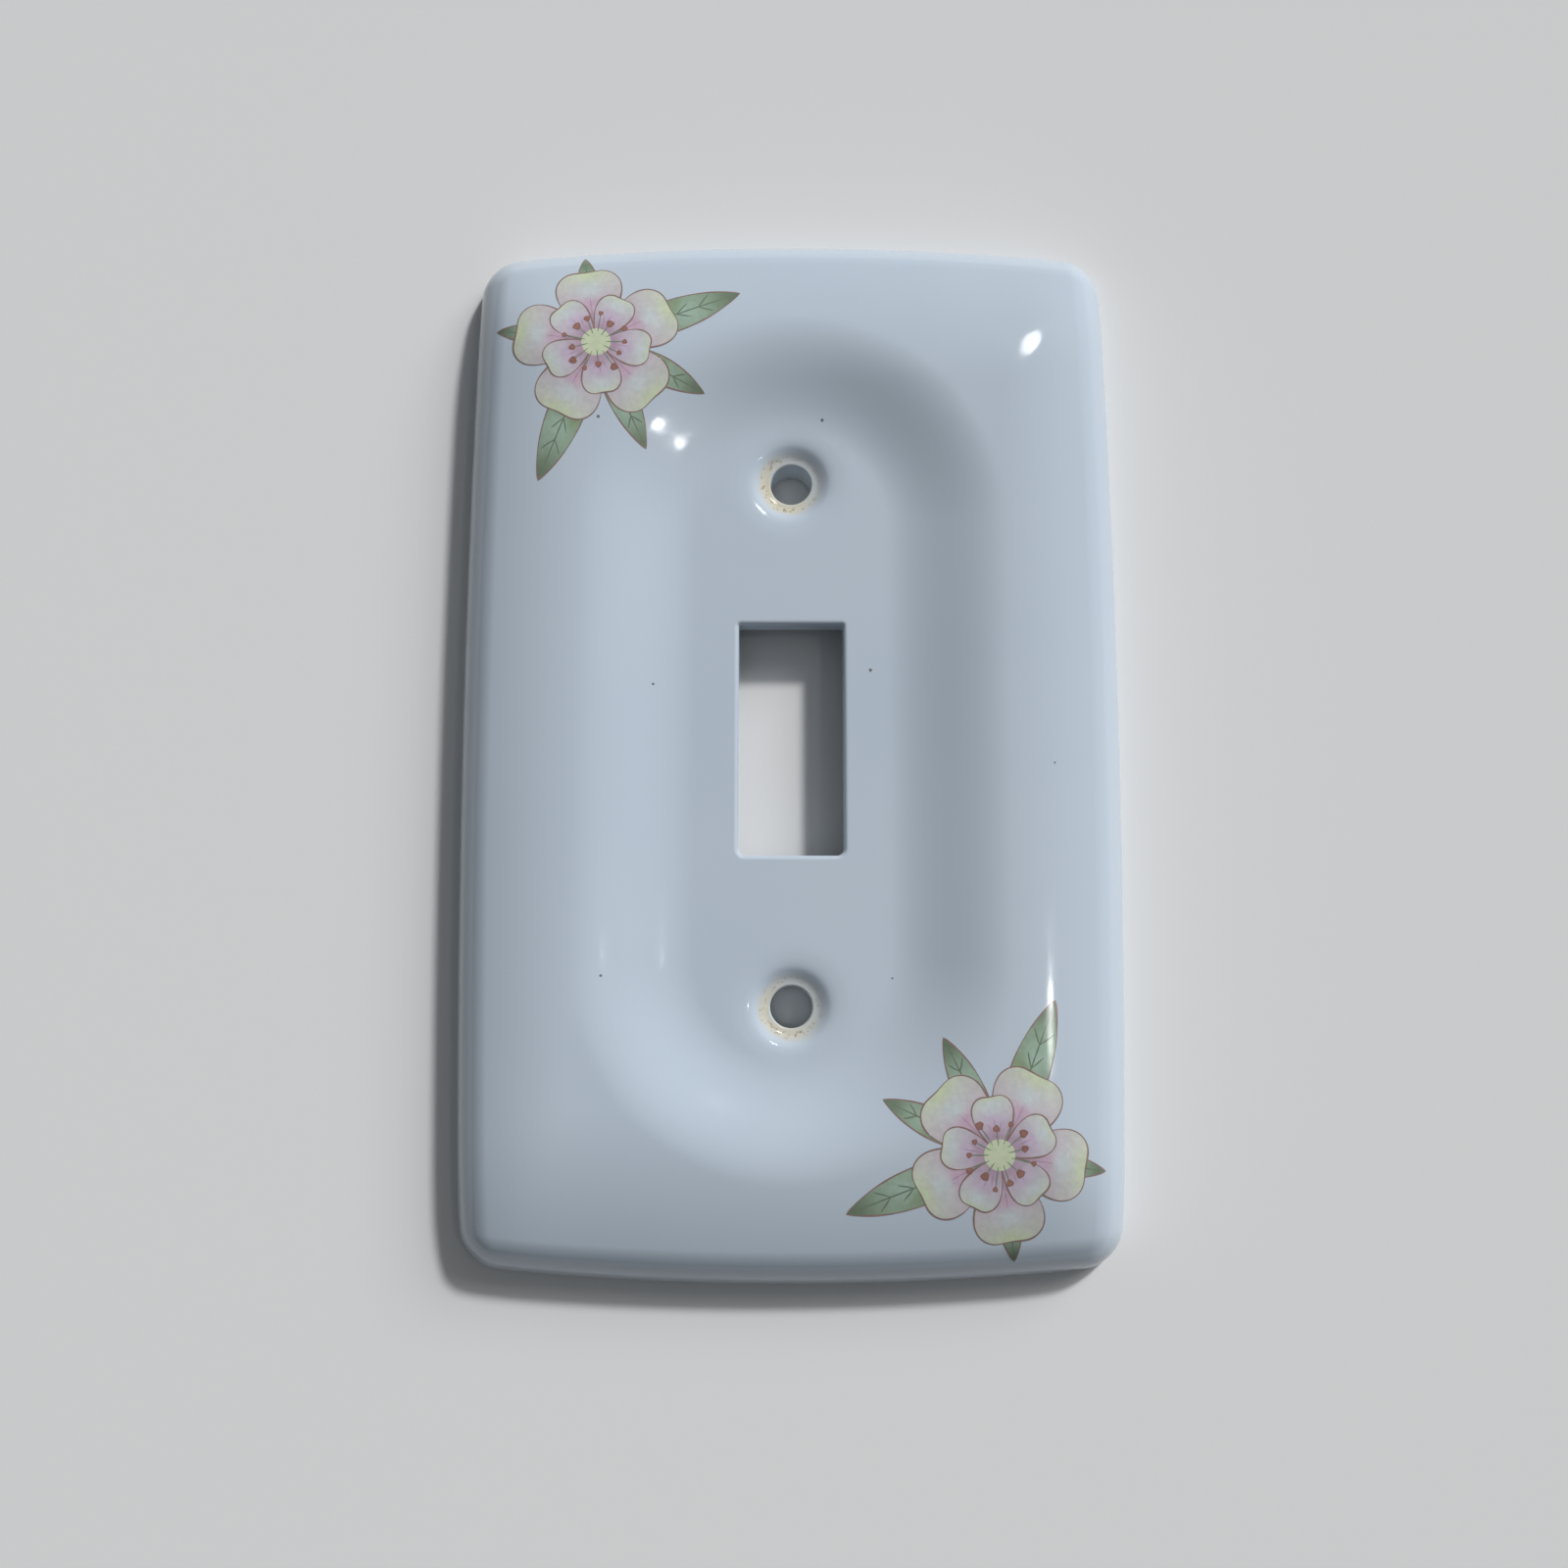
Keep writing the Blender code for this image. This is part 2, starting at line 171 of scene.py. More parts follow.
# ------------------------------------------------------------------------ rings and meshes
def edge_ring(inset, count=EDGE_POINTS):
    """The plate's outline at this inset, counter-clockwise."""
    w, h, r = PLATE_WIDTH / 2 - CORNER_RADIUS, PLATE_LENGTH / 2 - CORNER_RADIUS, CORNER_RADIUS
    corner = np.linspace(0, pi / 2, 17)
    path = [(w + r, 0.0)]
    for centre_x, centre_y, start in ((w, h, 0), (-w, h, pi / 2), (-w, -h, pi), (w, -h, 3 * pi / 2)):
        path += [(centre_x + r * cos(start + c), centre_y + r * sin(start + c)) for c in corner]
    path = np.array(path + [(w + r, 0.0)])
    reach = np.concatenate([[0], np.cumsum(np.hypot(*np.diff(path, axis=0).T))])
    along = np.linspace(0, reach[-1], count, endpoint=False)
    x, y = np.interp(along, reach, path[:, 0]), np.interp(along, reach, path[:, 1])
    step, rounds, damping, least_slope = 1e-4, 30, 0.8, 0.25
    for _ in range(rounds):
        grad_x = (inset_from_edge(x + step, y) - inset_from_edge(x - step, y)) / (2 * step)
        grad_y = (inset_from_edge(x, y + step) - inset_from_edge(x, y - step)) / (2 * step)
        short = inset - inset_from_edge(x, y)
        move = damping * short / np.maximum(grad_x**2 + grad_y**2, least_slope)
        x, y = x + move * grad_x, y + move * grad_y
    return np.stack([x, y], axis=1)


def thinned(ring, gap=0.08):
    """The ring without points that crowd together, as they do inside a corner."""
    kept = [ring[0]]
    for point in ring[1:]:
        if np.hypot(*(point - kept[-1])) > gap:
            kept.append(point)
    return np.array(kept)


def eased(step, steps):
    """Share of a quarter circle's radius covered sideways after this many steps round it."""
    return 1 - cos(pi / 2 * step / steps)


def round_ring(radius, centre_y):
    turn = np.linspace(0, 2 * pi, RING_POINTS, endpoint=False)
    return np.stack([radius * np.cos(turn), centre_y + radius * np.sin(turn)], axis=1)


def slot_ring(distance, spacing=0.55):
    """The toggle slot's outline at this distance out, counter-clockwise."""
    points = []
    corners = (
        (1, 1, SLOT_UPPER_CORNER, 0), (-1, 1, SLOT_UPPER_CORNER, pi / 2),
        (-1, -1, SLOT_LOWER_CORNER, pi), (1, -1, SLOT_LOWER_CORNER, 3 * pi / 2),
    )
    for side, end, corner, start in corners:
        centre_x, centre_y = side * (SLOT_HALF_WIDTH - corner), end * (SLOT_HALF_LENGTH - corner)
        for turn in np.linspace(0, pi / 2, 9):
            reach = corner + distance
            points.append((centre_x + reach * cos(start + turn),
                           centre_y + reach * sin(start + turn)))
    ring = []
    for here, after in zip(points, points[1:] + points[:1]):
        here, after = np.array(here), np.array(after)
        steps = max(1, round(np.hypot(*(after - here)) / spacing))
        ring += [here + (after - here) * i / steps for i in range(steps)]
    return np.array(ring)


class Body:
    """Vertices and faces of one closed mesh, in millimetres."""

    def __init__(self):
        self.points, self.faces, self.marks = [], [], []

    def add(self, xy, z):
        first = len(self.points)
        self.points += [(float(x), float(y), float(h)) for (x, y), h in zip(xy, z)]
        return list(range(first, first + len(xy)))

    def strip(self, upper, lower, mark):
        """Faces between two rings of the same count, both counter-clockwise seen from above."""
        count = len(upper)
        for i in range(count):
            j = (i + 1) % count
            self.faces.append((upper[i], lower[i], lower[j], upper[j]))
            self.marks.append(mark)

    def sheet(self, xy, index, boundaries, mark, holes, downwards=False):
        """Triangles over the points, left out inside the holes."""
        coords = [Vector((float(x), float(y))) for x, y in xy]
        edges = []
        place = {vertex: i for i, vertex in enumerate(index)}
        for ring in boundaries:
            local = [place[vertex] for vertex in ring]
            edges += list(zip(local, local[1:] + local[:1]))
        out = delaunay_2d_cdt(coords, edges, [], 0, 1e-6)
        back = [origin[0] for origin in out[3]]
        triangles = np.array([[back[i] for i in face] for face in out[2]])
        centre = np.asarray(xy)[triangles].mean(axis=1)
        keep = np.ones(len(triangles), bool)
        for outside in holes:
            keep &= ~outside(centre[:, 0], centre[:, 1])
        for a, b, c in triangles[keep]:
            face = (index[a], index[b], index[c])
            self.faces.append(face[::-1] if downwards else face)
            self.marks.append(mark)


def hex_grid(spacing, clearance):
    """Points in a honeycomb, this clear of the plate's edge, the screws' axes and the slot."""
    off_edge, off_screw, off_slot = clearance
    rows = np.arange(-PLATE_LENGTH / 2, PLATE_LENGTH / 2, spacing * 0.866)
    points = []
    for number, y in enumerate(rows):
        x = np.arange(-PLATE_WIDTH / 2, PLATE_WIDTH / 2, spacing) + (number % 2) * spacing / 2
        points.append(np.stack([x, np.full_like(x, y)], axis=1))
    points = np.concatenate(points)
    x, y = points.T
    return points[(inset_from_edge(x, y) > off_edge) & (screw_distance(x, y) > off_screw)
                  & (slot_distance(x, y) > off_slot)]


FRONT, FOOT, OTHER = range(3)


def build_body():
    body = Body()
    screws = (SCREW_Y, -SCREW_Y)
    xy, index, boundaries = [], [], []

    def lay(ring, height_of, keep_boundary=False):
        made = body.add(ring, height_of(ring[:, 0], ring[:, 1]))
        xy.extend(ring)
        index.extend(made)
        if keep_boundary:
            boundaries.append(made)
        return made

    def in_bore(x, y):
        return screw_distance(x, y) < BORE_RADIUS

    def in_root(x, y):
        return screw_distance(x, y) < BOSS_ROOT_RADIUS

    def in_slot(x, y):
        return slot_distance(x, y) < 0

    # front face
    outline = edge_ring(0.0)
    rim_foot = lay(outline, face_height, True)
    for i in range(1, RIM_STEPS + 1):
        count = EDGE_POINTS if i < SPARSE_FROM_STEP else SPARSE_EDGE_POINTS
        lay(edge_ring(RIM_RADIUS * eased(i, RIM_STEPS), count), face_height)
    lip_steps = range(1, BORE_LIP_STEPS + 1)
    lip_radii = [BORE_RADIUS + BORE_LIP * eased(i, BORE_LIP_STEPS) for i in lip_steps]
    bore_tops = []
    for centre_y in screws:
        bore_tops.append(lay(round_ring(BORE_RADIUS, centre_y), face_height, True))
        for radius in lip_radii + DIMPLE_RINGS:
            lay(round_ring(radius, centre_y), face_height)
    slot_top = lay(slot_ring(0.0), face_height, True)
    for i in range(1, SLOT_LIP_STEPS + 1):
        lay(slot_ring(SLOT_LIP * eased(i, SLOT_LIP_STEPS)), face_height)
    lay(slot_ring(SLOT_COLLAR), face_height)
    lay(hex_grid(FACE_GRID, FACE_CLEARANCE), face_height)
    body.sheet(xy, index, boundaries, FRONT, (in_bore, in_slot))

    # outer wall, chamfer and foot
    wall_foot = body.add(outline, np.full(len(outline), FOOT_CHAMFER))
    body.strip(rim_foot, wall_foot, OTHER)
    ring = edge_ring(FOOT_CHAMFER)
    foot_outer = body.add(ring, np.zeros(len(ring)))
    body.strip(wall_foot, foot_outer, OTHER)
    ring = edge_ring(FOOT_WIDTH)
    foot_inner = body.add(ring, np.zeros(len(ring)))
    body.strip(foot_outer, foot_inner, FOOT)

    # hollow rear
    xy, index, boundaries = [], [], []
    hollow_edge = lay(edge_ring(FOOT_WIDTH), rear_height, True)
    body.strip(foot_inner, hollow_edge, OTHER)
    for i in range(1, FILLET_STEPS + 1):
        inset = FOOT_WIDTH + REAR_FILLET * eased(i, FILLET_STEPS)
        lay(thinned(edge_ring(inset)), rear_height)
    roots = [lay(round_ring(BOSS_ROOT_RADIUS, centre_y), rear_height, True) for centre_y in screws]
    slot_rear = lay(slot_ring(0.0), rear_height, True)
    lay(hex_grid(REAR_GRID, REAR_CLEARANCE), rear_height)
    body.sheet(xy, index, boundaries, OTHER, (in_root, in_slot), downwards=True)
    body.strip(slot_rear, slot_top, OTHER)

    # bosses and bores
    for centre_y, root, top in zip(screws, roots, bore_tops):
        above = root
        for radius, height in BOSS_PROFILE:
            made = body.add(round_ring(radius, centre_y), np.full(RING_POINTS, height))
            body.strip(above, made, OTHER)
            above = made
        bore_end = body.add(round_ring(BORE_RADIUS, centre_y), np.full(RING_POINTS, BOSS_GAP))
        body.strip(above, bore_end, FOOT)
        body.strip(bore_end, top, OTHER)
    return body


# ------------------------------------------------------------------------ colours and materials
def linear(colour):
    """Linear light of an sRGB colour given from 0 to 255."""
    share = np.asarray(colour, float) / 255
    return np.where(share <= 0.04045, share / 12.92, ((share + 0.055) / 1.055) ** 2.4)


GLAZE = np.array([0.585, 0.675, 0.775])
GLAZE_AS_SEEN = linear((174, 184, 194))


def paint(colour):
    """Reflectance of a paint from how it looks beside glaze that looks like GLAZE_AS_SEEN."""
    return np.clip(linear(colour) / GLAZE_AS_SEEN * GLAZE, 0, 0.9)


YELLOW, CREAM = paint((182, 190, 160)), paint((181, 187, 188))
PINK, DEEP_PINK, LILAC = paint((178, 152, 168)), paint((160, 136, 152)), paint((178, 161, 180))
LEAF, LEAF_DARK, LEAF_WARM = paint((147, 167, 152)), paint((100, 112, 94)), paint((124, 140, 112))
STEM, STAMEN, OUTLINE = paint((112, 124, 110)), paint((136, 100, 90)), paint((128, 106, 100))


# Noise scales, per metre.
TONE_SCALE, CLOUD_SCALE, SHEEN_SCALE, PEEL_SCALE, WOBBLE_SCALE = 38, 240, 260, 430, 520
BISCUIT_PATCH_SCALE, BISCUIT_SCALE, PRINT_SCALE, FLECK_SCALE = 120, 900, 1300, 1500
GLAZE_IOR, GLAZE_ROUGHNESS, GLAZE_PEEL = 1.52, 0.075, 0.02
PEEL_DEPTH, GRAIN_DEPTH = 0.4, 0.2


class Nodes:
    """Short forms for building one material's node tree."""

    def __init__(self, name):
        self.material = bpy.data.materials.new(name)
        self.material.use_nodes = True
        self.tree = self.material.node_tree
        self.shader = self.tree.nodes["Principled BSDF"]
        self.place = self.node("ShaderNodeTexCoord").outputs["Object"]

    def node(self, kind, **settings):
        made = self.tree.nodes.new(kind)
        for key, value in settings.items():
            setattr(made, key, value)
        return made

    def put(self, value, socket):
        if isinstance(value, bpy.types.NodeSocket):
            self.tree.links.new(value, socket)
        else:
            socket.default_value = value

    def math(self, operation, *values, clamp=False):
        made = self.node("ShaderNodeMath", operation=operation, use_clamp=clamp)
        for value, socket in zip(values, made.inputs):
            self.put(value, socket)
        return made.outputs[0]

    def noise(self, scale, detail=3.0, rough=0.5, place=None):
        made = self.node("ShaderNodeTexNoise")
        self.put(self.place if place is None else place, made.inputs["Vector"])
        made.inputs["Scale"].default_value = scale
        made.inputs["Detail"].default_value = detail
        made.inputs["Roughness"].default_value = rough
        return made.outputs["Fac"]

    def ramp(self, value, low, high, start=0.0, end=1.0):
        made = self.node("ShaderNodeMapRange", interpolation_type="SMOOTHSTEP")
        for number, given in enumerate((value, low, high, start, end)):
            self.put(given, made.inputs[number])
        return made.outputs[0]

    def mix(self, share, first, second):
        made = self.node("ShaderNodeMix", data_type="RGBA")
        for name, value in (("Factor", share), ("A", first), ("B", second)):
            socket = next(s for s in made.inputs if s.name == name and s.type == (
                "VALUE" if name == "Factor" else "RGBA") and s.enabled)
            self.put((*value, 1) if isinstance(value, (tuple, np.ndarray)) else value, socket)
        return next(s for s in made.outputs if s.type == "RGBA")

    def bump(self, height, strength, depth):
        made = self.node("ShaderNodeBump")
        made.inputs["Strength"].default_value = strength
        made.inputs["Distance"].default_value = depth * MM
        self.put(height, made.inputs["Height"])
        self.put(made.outputs["Normal"], self.shader.inputs["Normal"])

    def gloss(self, roughness):
        """A wet-looking fired glaze with faint orange peel."""
        self.shader.inputs["IOR"].default_value = GLAZE_IOR
        self.put(self.ramp(self.noise(SHEEN_SCALE, 2), 0.35, 0.7, roughness, roughness * 1.6),
                 self.shader.inputs["Roughness"])
        self.bump(self.noise(PEEL_SCALE, 2), GLAZE_PEEL, PEEL_DEPTH)


# Dark pinholes in the glaze, scattered over the face a golden angle apart.
PIT_COUNT, PIT_SPREAD, PIT_RADIUS, FIRST_PIT, PIT_CORE = 7, 0.86, 0.24, 0.5, 0.6
PIT_DARK, STAIN, FLECK = (0.10, 0.08, 0.065), (0.70, 0.65, 0.49), (0.30, 0.17, 0.075)
# Radii in mm where the stain and its flecks set in, and where they fade out.
STAIN_STARTS, STAIN_FADES = (2.25, 2.5), (3.1, 4.2)
FLECKS_START, FLECKS_FADE = (2.7, 3.0), (3.3, 3.7)
STAIN_WOBBLE = 0.9
# The stain is strongest towards the lower left of a hole, and a little weaker in the lower hole.
STAIN_TOWARDS, STAIN_LEAST, STAIN_MOST = (-0.75, -0.66), 0.30, (0.85, 0.75)
FLECKS_LEAST, FLECKS_MOST = 0.25, 0.9
GOLDEN_ANGLE = pi * (3 - sqrt(5))


def pinholes():
    """Centres of the pinholes in mm, with a radius for each."""
    for number in range(PIT_COUNT):
        reach = PIT_SPREAD * sqrt((number + 0.7) / PIT_COUNT)
        turn = number * GOLDEN_ANGLE + FIRST_PIT
        size = PIT_RADIUS * (1 - 0.4 * (number % 3) / 2)
        yield reach * cos(turn) * PLATE_WIDTH / 2, reach * sin(turn) * PLATE_LENGTH / 2, size


def glazed_porcelain():
    """Blue-white glaze with a few pinholes, and tan stains in the dimples of the screw holes."""
    made = Nodes("blue_white_glaze")
    tone = made.ramp(made.noise(TONE_SCALE, 3), 0.3, 0.7)
    colour = made.mix(tone, tuple(GLAZE * 0.985), tuple(GLAZE * (1.02, 1.01, 1.0)))
    axes = made.node("ShaderNodeSeparateXYZ")
    made.put(made.place, axes.inputs[0])
    x, y = axes.outputs[0], axes.outputs[1]

    def distance(centre_x, centre_y):
        dx = made.math("SUBTRACT", x, centre_x * MM)
        dy = made.math("SUBTRACT", y, centre_y * MM)
        return dx, dy, made.math("SQRT", made.math("ADD", made.math("MULTIPLY", dx, dx),
                                                   made.math("MULTIPLY", dy, dy)))

    def band(radius, starts, fades):
        rise = made.ramp(radius, starts[0] * MM, starts[1] * MM)
        return made.math("MULTIPLY", rise, made.ramp(radius, fades[0] * MM, fades[1] * MM, 1, 0))

    for pit_x, pit_y, size in pinholes():
        spread = made.ramp(distance(pit_x, pit_y)[2], size * PIT_CORE * MM, size * MM, 0.8, 0.0)
        colour = made.mix(spread, colour, PIT_DARK)
    for side, most in zip((1, -1), STAIN_MOST):
        dx, dy, radius = distance(0, side * SCREW_Y)
        along = made.math("ADD", made.math("MULTIPLY", dx, STAIN_TOWARDS[0]),
                          made.math("MULTIPLY", dy, STAIN_TOWARDS[1]))
        lower_left = made.math("DIVIDE", along, radius)
        uneven = made.math("SUBTRACT", made.noise(WOBBLE_SCALE, 3), 0.5)
        reach = made.math("ADD", radius, made.math("MULTIPLY", uneven, STAIN_WOBBLE * MM))
        strength = made.ramp(lower_left, -0.9, 0.9, STAIN_LEAST, most)
        share = made.math("MULTIPLY", band(reach, STAIN_STARTS, STAIN_FADES), strength)
        colour = made.mix(share, colour, STAIN)
        flecks = made.ramp(made.noise(FLECK_SCALE, 4, 0.65), 0.52, 0.64)
        strength = made.ramp(lower_left, -0.8, 0.8, FLECKS_LEAST, FLECKS_MOST)
        share = made.math("MULTIPLY", band(reach, FLECKS_START, FLECKS_FADE), flecks)
        share = made.math("MULTIPLY", share, strength)
        colour = made.mix(share, colour, FLECK)
    made.put(colour, made.shader.inputs["Base Color"])
    made.gloss(GLAZE_ROUGHNESS)
    return made.material


def bare_foot():
    """Unglazed biscuit where the plate stood in the kiln."""
    made = Nodes("unglazed_biscuit")
    pale, deep, dirty = (0.66, 0.60, 0.51), (0.50, 0.44, 0.36), (0.36, 0.29, 0.22)
    grain = made.noise(BISCUIT_SCALE, 5, 0.65)
    colour = made.mix(made.ramp(grain, 0.3, 0.7), deep, pale)
    patches = made.ramp(made.noise(BISCUIT_PATCH_SCALE, 3), 0.55, 0.75, 0, 0.5)
    made.put(made.mix(patches, colour, dirty), made.shader.inputs["Base Color"])
    made.put(made.ramp(grain, 0.3, 0.7, 0.62, 0.82), made.shader.inputs["Roughness"])
    made.bump(grain, 0.25, GRAIN_DEPTH)
    return made.material


def painted_enamel(name, roughness, mottle):
    """Paint fired onto the glaze, in the colours of the piece's vertices, slightly uneven as printed."""
    made = Nodes(name)
    colours = made.node("ShaderNodeAttribute", attribute_name="paint")
    grain = made.ramp(made.noise(PRINT_SCALE, 3, 0.6), 0.3, 0.7, 1 - mottle, 1 + mottle)
    cloud = made.ramp(made.noise(CLOUD_SCALE, 2), 0.3, 0.7, 1 - mottle / 2, 1 + mottle / 2)
    both = made.math("MULTIPLY", grain, cloud)
    scaled = made.node("ShaderNodeVectorMath", operation="SCALE")
    made.put(colours.outputs["Color"], scaled.inputs[0])
    made.put(both, scaled.inputs["Scale"])
    made.put(scaled.outputs[0], made.shader.inputs["Base Color"])
    made.gloss(roughness)
    return made.material


# ------------------------------------------------------------------------ the painted sprays, mm
# A plain round flower with pointed leaves behind it, even about the diagonal that runs from the
# plate's corner towards its middle. Lengths are from the middle of the flower.
SPRAY_AT, SPRAY_DIAGONAL = (-22.5, 46.0), radians(-45)
PETALS, PETAL_REACH, INNER_REACH, HEART_RADIUS = 5, 10.0, 6.6, 1.7
# Each ring of petals: reach, half width, turn, and its colours by share of the reach.
PETAL_RINGS = (
    (PETAL_REACH, 4.9, 0.0, ((0.28, DEEP_PINK), (0.5, PINK), (0.68, CREAM), (0.95, YELLOW))),
    (INNER_REACH, 2.9, pi / PETALS, ((0.3, DEEP_PINK), (0.55, LILAC), (0.8, CREAM), (1.0, YELLOW))),
)
LEAVES = ((radians(20), 14.0), (radians(66), 18.0), (radians(144), 12.0))
LEAF_SPREAD, LEAF_TAPER, LEAF_SHRINK, LEAF_CUT = radians(26), 1.1, 0.985, 0.86
STAMEN_COUNT, STAMEN_REACH = 13, 3.3
STROKE_STEP, VEIN_WIDTH, STAMEN_WIDTH, ANTHER_RADIUS = 0.2, 0.14, 0.12, 0.30
LEAF_POINTS, PETAL_POINTS, HEART_POINTS, DOT_POINTS = 61, 72, 48, 20
# Spacing of the points in a patch, their least distance from its outline, and its colours' blend.
SKIN_GRID, SKIN_GAP, BLEND_POWER, BLEND_CORE = 0.4, 0.16, 2.4, 0.05
# The first layer clears the flat facets of the curved glaze, and each layer clears the last.
OUTLINE_WIDTH, SKIN_SINK, LAYER, BASE_LIFT = 0.15, 0.03, 0.0018, 0.009


def bend(points, steps):
    """A smooth open run through the points."""
    points = [np.array(point[:2], float) for point in points]
    ends = [2 * points[0] - points[1]] + points + [2 * points[-1] - points[-2]]
    run = []
    for before, here, after, beyond in zip(ends, ends[1:], ends[2:], ends[3:]):
        count = max(2, round(np.hypot(*(after - here)) / steps))
        for share in np.arange(count) / count:
            run.append(0.5 * (2 * here + (after - before) * share
                              + (2 * before - 5 * here + 4 * after - beyond) * share**2
                              + (3 * here - before - 3 * after + beyond) * share**3))
    return run + [points[-1]]


def outwards(reach, heading):
    """Points at these reaches from the middle of the flower, in these directions."""
    return np.stack([reach * np.cos(heading), reach * np.sin(heading)], axis=-1)


def leaf_outline(heading, length):
    """A pointed leaf whose root is under the flower."""
    off = np.linspace(-LEAF_CUT, LEAF_CUT, LEAF_POINTS)
    reach = length * LEAF_SHRINK * (1 - np.abs(off) ** LEAF_TAPER)
    return outwards(reach, heading + off * LEAF_SPREAD)


def petal_outline(heading, length, half_width):
    """A rounded petal with a shallow dent in its tip, narrow at the middle of the flower."""
    middle, half_length, dent, dent_width, fullness, taper = 0.54, 0.46, 0.05, 0.35, 0.72, 0.34
    turn = np.linspace(0, 2 * pi, PETAL_POINTS, endpoint=False)
    tip = dent * np.exp(-((turn - pi) / dent_width) ** 2)
    along = length * (middle - half_length * np.cos(turn) - tip)
    across = half_width * np.sin(turn) * (fullness - taper * np.cos(turn))
    ahead, aside = np.array([cos(heading), sin(heading)]), np.array([-sin(heading), cos(heading)])
    return along[:, None] * ahead + across[:, None] * aside


def inside(polygon, x, y):
    count = np.zeros(len(x), int)
    for (ax, ay), (bx, by) in zip(polygon, np.roll(polygon, -1, axis=0)):
        crosses = (ay > y) != (by > y)
        if ay != by:
            count += crosses & (x < (bx - ax) * (y - ay) / (by - ay) + ax)
    return count % 2 == 1


class Skin:
    """Thin closed patches that follow the glaze, with a colour at each vertex."""

    def __init__(self, turned):
        self.turned, self.points, self.faces, self.colours = turned, [], [], []
        self.on_top = []

    def drape(self, xy, lift):
        side = -1 if self.turned else 1
        x = side * (xy[:, 0] + SPRAY_AT[0])
        y = side * (xy[:, 1] + SPRAY_AT[1])
        ground = np.stack([x, y, face_height(x, y)], axis=1)
        return ground + face_normal(x, y) * lift

    def patch(self, xy, triangles, colours, lift):
        """Top and sunken bottom over the same triangles, joined round their open edges."""
        first, count = len(self.points), len(xy)
        self.points += list(self.drape(xy, BASE_LIFT + lift)) + list(self.drape(xy, -SKIN_SINK))
        self.colours += list(colours) + list(colours)
        open_edges = {}
        for triangle in triangles:
            a, b, c = (first + i for i in triangle)
            self.faces.append((a, b, c))
            self.faces.append((c + count, b + count, a + count))
            self.on_top += [True, False]
            for pair in ((a, b), (b, c), (c, a)):
                if pair[::-1] in open_edges:
                    del open_edges[pair[::-1]]
                else:
                    open_edges[pair] = True
        for a, b in open_edges:
            self.faces.append((b, a, a + count, b + count))
            self.on_top.append(False)

    def fill(self, ring, stops, lift):
        low, high = ring.min(axis=0), ring.max(axis=0)
        columns, rows = np.arange(low[0], high[0], SKIN_GRID), np.arange(low[1], high[1], SKIN_GRID)
        grid = np.stack(np.meshgrid(columns, rows), axis=-1).reshape(-1, 2)
        grid = grid[inside(ring, grid[:, 0], grid[:, 1])]
        apart = np.min(np.hypot(grid[:, None, 0] - ring[None, :, 0],
                                grid[:, None, 1] - ring[None, :, 1]), axis=1)
        grid = grid[apart > SKIN_GAP]
        coords = [Vector(point) for point in np.concatenate([ring, grid])]
        edges = [(i, (i + 1) % len(ring)) for i in range(len(ring))]
        out = delaunay_2d_cdt(coords, edges, [], 1, 1e-5)
        xy = np.array([tuple(point) for point in out[0]])
        places = np.array([place for place, _ in stops])
        away = np.hypot(xy[:, None, 0] - places[:, 0], xy[:, None, 1] - places[:, 1])
        weights = 1 / (away**BLEND_POWER + BLEND_CORE)
        colours = weights @ np.array([colour for _, colour in stops])
        self.patch(xy, out[2], colours / weights.sum(axis=1, keepdims=True), lift)

    def line(self, run, width, colour, lift, closed=False):
        """A brush line whose width swells and thins along it."""
        run = np.asarray(run)
        if closed:
            along = np.roll(run, -1, axis=0) - np.roll(run, 1, axis=0)
        else:
            along = np.gradient(run, axis=0)
        along = along / np.maximum(np.hypot(*along.T)[:, None], 1e-9)
        across = np.stack([-along[:, 1], along[:, 0]], axis=1)
        share = np.linspace(0, 1, len(run), endpoint=not closed)
        if closed:
            slow, quick = np.sin(2 * pi * share * 3 + run[0, 0]), np.sin(2 * pi * share * 7)
            swell = 1 + 0.28 * slow + 0.12 * quick
        else:
            swell = 0.22 + 0.95 * np.sin(pi * np.clip(share * 0.92 + 0.06, 0, 1)) ** 0.7
        half = (width * swell / 2)[:, None]
        xy = np.concatenate([run + across * half, run - across * half])
        count = len(run)
        triangles = []
        for i in range(count if closed else count - 1):
            j = (i + 1) % count
            triangles += [(i, count + i, count + j), (i, count + j, j)]
        self.patch(xy, triangles, [colour] * len(xy), lift)

    def dot(self, x, y, radius, colour, lift):
        """A small round blob, paler in its middle."""
        turn = np.linspace(0, 2 * pi, DOT_POINTS, endpoint=False)
        wave = radius * (1 + 0.10 * np.sin(3 * turn + x) + 0.05 * np.sin(5 * turn + y))
        ring = np.stack([x + wave * np.cos(turn), y + wave * np.sin(turn)], axis=1)
        xy = np.concatenate([ring, [(x, y)]])
        self.patch(xy, [(i, (i + 1) % DOT_POINTS, DOT_POINTS) for i in range(DOT_POINTS)],
                   [colour * 0.88] * DOT_POINTS + [colour * 1.12], lift)


SHARP_ANGLE = radians(40)


def make_object(name, points, faces, materials, marks=None):
    mesh = bpy.data.meshes.new(name)
    mesh.from_pydata([tuple(np.asarray(point) * MM) for point in points], [], faces)
    for given in materials:
        mesh.materials.append(given)
    if marks is not None:
        mesh.polygons.foreach_set("material_index", marks)
    mesh.update()
    made = bpy.data.objects.new(name, mesh)
    bpy.context.scene.collection.objects.link(made)
    return made


